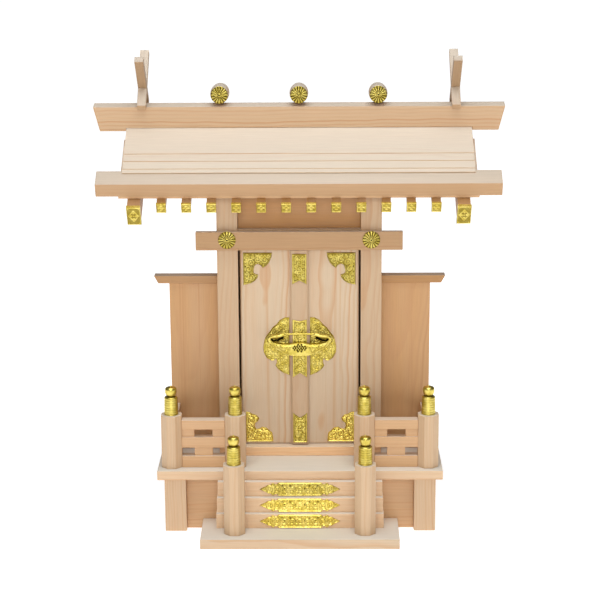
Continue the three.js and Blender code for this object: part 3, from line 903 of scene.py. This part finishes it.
# Door corners: across from the door's outer edge, and up, with scalloped inner edges
TOP_CORNER = [
    (0, 0), (0, -30.6), (2.2, -30.2), (7.4, -28.9), (11, -26.6), (13.4, -23.6), (14.1, -20.7),
    (11.8, -20.4), (9.8, -19.0), (9.9, -15.8), (10.6, -12.8), (12.2, -10.9), (14.4, -10.8),
    (16.8, -12.2), (18.4, -14.5), (21.6, -12.6), (24.6, -9), (26.6, -4.2), (27.2, 0),
]
BOTTOM_CORNER = [
    (0, 0), (24.9, 0), (24.9, 4.6), (24.0, 8.6), (21.2, 10.9), (18.7, 13.2), (15.0, 14.0),
    (12.2, 12.4), (9.3, 11.9), (8.0, 14.4), (8.4, 17.6), (11.2, 19.6), (12.1, 22.4), (9.6, 25.4),
    (6.2, 26.2), (3.2, 28.0), (0, 28.5),
]
LOCK_SIDE = [
    (0, 0), (7.2, 3.0), (11.8, 6.6), (13.8, 10.1), (12.4, 13.8), (13.3, 17.2), (15.2, 15.2),
    (18.3, 15.1), (22.6, 17.9), (25.4, 23.6), (25.8, 29.0), (24.6, 35.9), (23.0, 40.2),
    (19.6, 44.4), (16.6, 48.9), (12.6, 52.0), (9.4, 56.2), (4.6, 58.8), (0, 59.1),
]


def scrollwork(outline, rim=1.3, biggest=3.4, mirror_x=False, pierced=0):
    """Spirals, beads and, at every pierced-th small gap, a pit painted nearly black as painted
    shade.
    """
    ring = spaced_outline(outline, 1.0)
    circles, middle = scroll_places(ring, rim, biggest, mirror_x)
    lines, beads = scroll_lines(circles, middle)
    small = [(x, z, 0.55, 0.55) for x, z, radius in circles if radius < 0.9]
    return dict(lines=lines, beads=beads, pits=small[::pierced] if pierced else ())


def scaled(points, across, up):
    return [(x * across, z * up) for x, z in points]


def wound_alike(ring):
    """The outline wound the same way as the others."""
    area = sum(x0 * z1 - x1 * z0 for (x0, z0), (x1, z1) in zip(ring, ring[1:] + ring[:1]))
    return ring if area > 0 else ring[::-1]


def pair_of_plates(name, outline, place_left, look, pierced=3, ground=0.3):
    """A plate on the left door, and its mirror on the right one."""
    outline = wound_alike(outline)
    plate = embossed(outline, ground=ground, **scrollwork(outline, pierced=pierced))
    for body, mirror in (("door_left", False), ("door_right", True)):
        x, y, z = place_left
        hang_plate(f"{name}_{body[5:]}", plate, look, (-x if mirror else x, y, z), body, mirror)


door_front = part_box("door_left")[0].y + SEAT
pair_of_plates(
    "corner_top", scaled(TOP_CORNER, 1.03, 1.05), (-0.0545, door_front, 0.2669), gilt_upper, 2, 0.2
)
pair_of_plates(
    "corner_foot", scaled(BOTTOM_CORNER, 1.07, 1.09), (-0.0536, door_front, 0.0745), gilt_foot
)
pair_of_plates("lock_plate", scaled(LOCK_SIDE, -1, 1), (-0.0100, door_front, 0.1431), gilt_worked)

# Plates on the meeting strip, each with a pointed notch in its foot or its head
strip_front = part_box("astragal")[0].y + SEAT
HALF_STRIP = 7.0
NOTCH = ((-3.4, 0.55), (0, 1), (3.4, 0.55))
for name, look, low, high, foot_notch, head_notch in (
    ("strip_top", gilt_upper, 236.3, 266.5, 3.7, 0),
    ("strip_middle", gilt_worked, 141.9, 201.0, 4.8, 1.8),
    ("strip_foot", gilt_worked, 74.8, 105.7, 0, 5.2),
):
    tall = high - low
    foot = [(x, foot_notch * share) for x, share in NOTCH if foot_notch]
    head = [(-x, tall - head_notch * share) for x, share in NOTCH if head_notch]
    outline = [(-HALF_STRIP, 0)] + foot + [(HALF_STRIP, 0), (HALF_STRIP, tall)] + head
    outline.append((-HALF_STRIP, tall))
    work = scrollwork(outline, rim=1.8, biggest=3.0, mirror_x=True)
    plate = embossed(outline, rim=1.5, rim_high=0.6, ground=0.2, **work)
    hang_plate(name, plate, look, (0, strip_front, low * MM), "door_right")

# Stair plates: a long bar with a leaf head at each end
HALF_STAIR = [
    (20.6, -6.7), (22.4, -5.0), (23.8, -5.0), (25.6, -6.2), (27.4, -5.6), (28.4, -4.3),
    (30.2, -4.5), (32.0, -3.7), (33.2, -2.7), (35.6, -1.7), (38.8, 0), (35.6, 1.7), (33.2, 2.7),
    (32.0, 3.7), (30.2, 4.5), (28.4, 4.3), (27.4, 5.6), (25.6, 6.2), (23.8, 5.0), (22.4, 5.0),
    (20.6, 6.7),
]
stair_outline = HALF_STAIR + [(-x, z) for x, z in reversed(HALF_STAIR)]
stair_work = scrollwork(stair_outline, rim=1.2, biggest=3.6, mirror_x=True)
stair_work["pits"] = [(x, 3.4, 1.6, 0.6) for x in (-17.5, -9.5, 9.5, 17.5)]
stair_work["pits"] += [(x, 0.4, 0.8, 0.5) for x in (-15.2, -4.6, 4.6, 15.2)]
stair_plate = embossed(stair_outline, rim=1.2, **stair_work)
for place, look in (("lower", gilt_foot), ("middle", gilt_foot), ("upper", gilt_worked)):
    low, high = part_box("step_" + place)
    middle_z = (low.z + high.z) / 2
    hang_plate("stair_plate_" + place, stair_plate, look, (0, low.y + SEAT, middle_z), "shrine")


# Chrysanthemum rosettes, on the lintel and on both ends of each billet
def rosette(name, radius, place, back=False):
    """Sixteen petals, set out by Geometry Nodes round a hollowed boss on a low disc."""
    petals, rows, across = 16, 9, 6
    corners, faces, relief = [], [], []
    for i in range(rows + 1):
        t = i / rows
        reach = radius * (0.22 + 0.78 * t)
        half = reach * math.tan(math.pi / petals) * 0.86
        if t > 0.8:
            half *= math.sqrt(max(0.0, 1 - ((t - 0.8) / 0.2) ** 2)) * 0.9 + 0.1
        for k in range(across + 1):
            s = k / across * 2 - 1
            dome = 0.25 + 1.05 * (1 - t ** 1.6)
            arch = math.sqrt(max(0.0, 1 - s * s))
            rise = 0.25 + 0.6 * arch * (0.45 + 0.55 * math.sin(math.pi * min(1, t + 0.12)))
            corners.append((s * half * MM, -(dome + rise if abs(s) < 1 else dome) * MM, reach * MM))
            relief.append(0.04 + 0.96 * arch)
    wide = across + 1
    for i in range(rows):
        for k in range(across):
            a = i * wide + k
            faces.append((a, a + 1, a + wide + 1, a + wide))
    rim = list(range(wide)) + [i * wide + across for i in range(1, rows + 1)]
    rim += [rows * wide + k for k in range(across - 1, -1, -1)]
    rim += [i * wide for i in range(rows - 1, 0, -1)]
    count = len(corners)
    for v in rim:
        corners.append((corners[v][0], -0.1 * MM, corners[v][2]))
        relief.append(0.0)
    for i, v in enumerate(rim):
        n = (i + 1) % len(rim)
        faces.append((rim[n], v, count + i, count + n))
    faces.append(tuple(count + i for i in reversed(range(len(rim)))))
    mesh = mesh_from(name + "_petal", corners, faces, relief)
    petal = as_object(name + "_petal", mesh, gilt_upper)
    set_out(petal, petals, (0, 0, 0), (0, 0, 0), (0, 2 * math.pi / petals, 0), gilt_upper)
    disc = [(0, 0), (radius * 0.97, 0), (radius, 0.25), (radius * 0.97, 0.5), (0, 0.5)]
    base = turned(name + "_disc", disc, 48, gilt_upper, [0.2, 0.5, 0.7, 0.0, 0.0], "-Y")
    shares = ((0, 0.4), (0.26, 0.4), (0.25, 1.6), (0.17, 2.0), (0.1, 2.1), (0.07, 1.6), (0, 1.55))
    boss = [(radius * share, height) for share, height in shares]
    # the boss's hollow top is painted nearly black, as painted shade
    knob = turned(name + "_boss", boss, 20, gilt_upper, [0, 0.1, 0.8, 1, 0.4, -1.0, -1.0], "-Y")
    whole = joined(name, [petal, base, knob])
    turn = Matrix.Rotation(math.pi, 4, "Z") if back else Matrix.Identity(4)
    whole.data.transform(Matrix.Translation(place) @ turn)
    crisp(whole.data, 60)
    return place_piece(whole, "shrine", "gilt")


lintel_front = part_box("lintel")[0].y + SEAT
for side, x in (("left", -0.0694), ("right", 0.0694)):
    rosette("lintel_rosette_" + side, 8.5, (x, lintel_front, 0.2811))
for place in ("left", "middle", "right"):
    low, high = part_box("ridge_billet_" + place)
    middle = (low + high) / 2
    rosette(f"billet_rosette_{place}_front", 8.4, (middle.x, low.y + SEAT, middle.z))
    rosette(f"billet_rosette_{place}_back", 8.4, (middle.x, high.y - SEAT, middle.z), back=True)


# End caps: a short sleeve, closed by a plate with a four-petalled flower
def end_cap(name, wide, tall, deep, wall=0.9):
    """Axes: x across, -y out of the timber's end, z up its end face."""
    half_wide, half_tall = wide / 2, tall / 2
    outer = [(half_wide * x, half_tall * z) for x, z in ((1, 1), (-1, 1), (-1, -1), (1, -1))]
    large = half_tall > 8
    petal = half_wide * (0.21 if large else 0.3)
    reach_x, reach_z = half_wide * (0.38 if large else 0.42), half_tall * (0.34 if large else 0.42)
    beads = [(reach_x, 0, petal), (-reach_x, 0, petal), (0, reach_z, petal), (0, -reach_z, petal)]
    beads.append((0, 0, petal * 0.55))
    lines = []
    if large:  # a diamond round the flower, and a bead in each corner
        across, along = half_wide * 0.7, half_tall * 0.62
        lines.append([(across, 0), (0, along), (-across, 0), (0, -along), (across, 0)])
        corner_x, corner_z = half_wide - 1.7, half_tall - 1.9
        beads += [(sx * corner_x, sz * corner_z, 0.6) for sx in (-1, 1) for sz in (-1, 1)]
    corners, faces, relief = embossed(
        outer[2:] + outer[:2], spacing=0.36, thick=0.3, rim_high=0.4, lines=lines, beads=beads,
        line_high=0.45, ground=0.22 if large else 0.3,
    )
    plate = mesh_from(name, [(x * MM, -h * MM, z * MM) for x, h, z in corners], faces, relief)
    sleeve = bmesh.new()
    sleeve.from_mesh(plate)
    mark = sleeve.verts.layers.float.get("relief")
    inner = [(x - math.copysign(0.4, x), z - math.copysign(wall, z)) for x, z in outer]
    rings = []
    for edge, y in ((outer, 0.0), (outer, deep), (inner, deep), (inner, 0.0)):
        rings.append([sleeve.verts.new((x * MM, y * MM, z * MM)) for x, z in edge])
        for v in rings[-1]:
            v[mark] = 0.85
    for near, far in zip(rings, rings[1:] + rings[:1]):
        for k in range(4):
            n = (k + 1) % 4
            sleeve.faces.new((near[k], near[n], far[n], far[k]))
    sleeve.to_mesh(plate)
    sleeve.free()
    return as_object(name, crisp(plate, 45), gilt_worked)


for side, sign in (("front", 1), ("back", -1)):
    half_turn = Matrix.Rotation(0 if sign > 0 else math.pi, 4, "Z")
    tilt = Matrix.Rotation(PITCH * sign, 4, "X") @ half_turn
    row = end_cap("rafter_caps_" + side, 9.4, 10.9, 2.2)
    start = (-(RAFTERS - 1) / 2 * RAFTER_PITCH * MM, 0, 0)
    set_out(row, RAFTERS, start, (RAFTER_PITCH * MM, 0, 0), (0, 0, 0), gilt_worked)
    row.data.transform(Matrix.Translation(on_slope(RAFTER_END, RAFTER_MIDDLE_UP, sign)) @ tilt)
    place_piece(row, "shrine", "gilt")
    for hand in ("left", "right"):
        cap = end_cap(f"bargeboard_cap_{side}_{hand}", 13.4, 22.2, 3.0)
        low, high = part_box("bargeboard_" + hand)
        place = on_slope(BARGE_END - BARGE_CUT_BACK, BARGE_MIDDLE_UP, sign)
        place.x = (low.x + high.x) / 2
        cap.data.transform(Matrix.Translation(place) @ tilt)
        place_piece(cap, "shrine", "gilt")


# Onion-shaped post caps, turned, with rings round the sleeve
SLEEVE_RINGS, RING_TALL = 7, 2.35
ONE_RING = ((0.0, -0.22, 0.25), (0.16, -0.02, 0.7), (0.5, 0.05, 0.9), (0.84, -0.02, 0.7))


def cap_profile():
    """Radius and height in millimetres from foot to point, and each one's relief, low in the ring
    grooves and the neck to paint shade in those creases.
    """
    profile, relief = [(0, 0), (6.9, 0), (6.95, 0.6)], [0, 0.5, 1]
    for i in range(SLEEVE_RINGS):
        for share, out, shade in ONE_RING:
            profile.append((6.8 - 0.06 * i + out, 0.9 + (i + share) * RING_TALL))
            relief.append(shade)
    for radius, z, shade in (
        (6.1, 17.5, 0.6), (4.4, 17.8, 0.1), (3.9, 18.2, 0.0), (3.9, 18.8, 0.0), (4.4, 19.1, 0.4),
        (5.0, 20.1, 0.8), (5.5, 21.6, 1), (5.65, 23.0, 1), (5.6, 25.0, 0.8), (5.3, 26.1, 1),
        (4.3, 27.0, 1), (2.8, 27.55, 0.9), (1.4, 27.8, 0.5), (0.8, 28.1, 0.7), (0.6, 28.6, 1),
        (0, 29.0, 1),
    ):
        profile.append((radius, z))
        relief.append(shade)
    return profile, relief


profile, relief = cap_profile()
for post in ("newel_cap", "rail_cap_outer", "rail_cap_inner"):
    for hand in ("left", "right"):
        node = f"{post}_{hand}"
        low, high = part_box(node)
        foot = ((low.x + high.x) / 2, (low.y + high.y) / 2, low.z)
        onion = turned(node + "_turned", profile, 40, gilt_turned, relief, place=foot)
        place_piece(onion, BODY_OF[node], "gilt", node)


# Lock: a chased crescent with curled tips, and a rod between them
def tube(path, radii, sides=10):
    """A round bar along a path in X and Z, with flat ends, as corners and faces."""
    corners, faces = [], []
    count = len(path)
    for i, (x, y, z) in enumerate(path):
        ahead = Vector(path[min(i + 1, count - 1)]) - Vector(path[max(i - 1, 0)])
        ahead.normalize()
        flat = Vector((0, 1, 0))
        side = ahead.cross(flat).normalized()
        for k in range(sides):
            angle = 2 * math.pi * k / sides
            out = side * math.cos(angle) + flat * math.sin(angle)
            corners.append(Vector((x, y, z)) + out * radii[i])
    for i in range(count - 1):
        for k in range(sides):
            n = (k + 1) % sides
            faces.append((i * sides + k, i * sides + n, (i + 1) * sides + n, (i + 1) * sides + k))
    for end in (0, count - 1):
        hub = len(corners)
        corners.append(Vector(path[end]))
        for k in range(sides):
            n = (k + 1) % sides
            faces.append((hub, end * sides + k, end * sides + n))
    return corners, faces


def eased_path(points, hand, y, steps=3):
    """A path along one half of the lock, at depth y, with more points between the given ones."""
    path = []
    for (x0, z0), (x1, z1) in zip(points, points[1:]):
        shares = [k / steps for k in range(steps)]
        path += [(hand * (x0 + (x1 - x0) * t), y, z0 + (z1 - z0) * t) for t in shares]
    return path + [(hand * points[-1][0], y, points[-1][1])]


# Half the lock's shapes, x from its middle and z from its foot, in millimetres
HALF_CRESCENT = [
    (0, 0), (8.5, 0.8), (15.0, 3.2), (23.4, 7.6), (28.6, 11.8), (30.9, 15.0), (30.6, 17.8),
    (28.0, 17.4), (24.8, 14.6), (19.2, 13.2), (14.2, 12.7), (9.0, 13.0), (4.5, 14.0), (0, 14.4),
]
HORN = [
    (29.6, 16.8), (29.4, 19.3), (27.0, 20.7), (23.4, 20.8), (19.4, 21.5), (15.8, 22.5), (13.6, 21.6),
]
CREASE = [(28.6, 21.1), (24.2, 22.1), (19.0, 22.8)]
# A tube in the slot between horn and crescent, painted nearly black as painted shade in the slot.
PAINTED_SLOT_SHADE = [(27.8, 18.6), (26.8, 16.9), (24.8, 16.1), (21.8, 16.8), (18.8, 18.2), (15.6, 19.5)]
PIT_ROWS = (
    (12.4, (-1.6, 1.6)),
    (10.7, (-5.0, -2.5, 0, 2.5, 5.0)),
    (9.0, (-6.2, -3.8, -1.3, 1.3, 3.8, 6.2)),
    (7.3, (-5.0, -2.5, 0, 2.5, 5.0)),
    (5.6, (-1.6, 1.6)),
)
PLAIN_HALF = 10  # half the width left plain for the pits
HORN_DEPTH = -3.0


def build_lock():
    low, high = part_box("lock")
    outline = HALF_CRESCENT + [(-x, z) for x, z in reversed(HALF_CRESCENT[1:-1])]
    work = scrollwork(outline, rim=1.4, biggest=2.2, mirror_x=True)
    pits = [(x, z, 0.85, 1.15) for z, row in PIT_ROWS for x in row]
    lines = [line for line in work["lines"] if abs(line[0][0]) > PLAIN_HALF]
    beads = [bead for bead in work["beads"] if abs(bead[0]) > PLAIN_HALF]
    corners, faces, relief = embossed(
        outline, spacing=0.4, thick=2.4, rim=1.1, rim_high=0.5, lines=lines, beads=beads, pits=pits,
        dome=1.9, ground=0.5,
    )
    corners = [Vector((x, -h, z)) for x, h, z in corners]
    relief = list(relief)

    def weld(path, radii, shade, sides=10):
        more, skin = tube(path, radii, sides)
        faces.extend(tuple(v + len(corners) for v in face) for face in skin)
        corners.extend(more)
        relief.extend([shade] * len(more))

    for hand in (-1, 1):
        path = eased_path(HORN, hand, HORN_DEPTH)
        last = len(path) - 1
        weld(path, [1.5 + 0.5 * math.sin(math.pi * i / last) for i in range(last + 1)], 0.6)
        weld(eased_path(CREASE, hand, HORN_DEPTH - 1.5), [0.55] * 7, 0.25, 6)
        # the slot's painted shade, nearly black
        weld(eased_path(PAINTED_SLOT_SHADE, hand, HORN_DEPTH + 0.7), [0.7 + 0.045 * i for i in range(16)], -1.0)
    rod = [(x, HORN_DEPTH, 23.0) for x in (-15.0, -8, 0, 8, 15.0)]
    weld(rod, [0.9] * len(rod), 1.0, 12)
    put = [Vector((0, high.y, low.z)) + c * MM for c in corners]
    mesh = crisp(mesh_from("lock_chased", put, faces, relief), 50)
    return place_piece(as_object("lock_chased", mesh, gilt_worked), BODY_OF["lock"], "gilt", "lock")


build_lock()
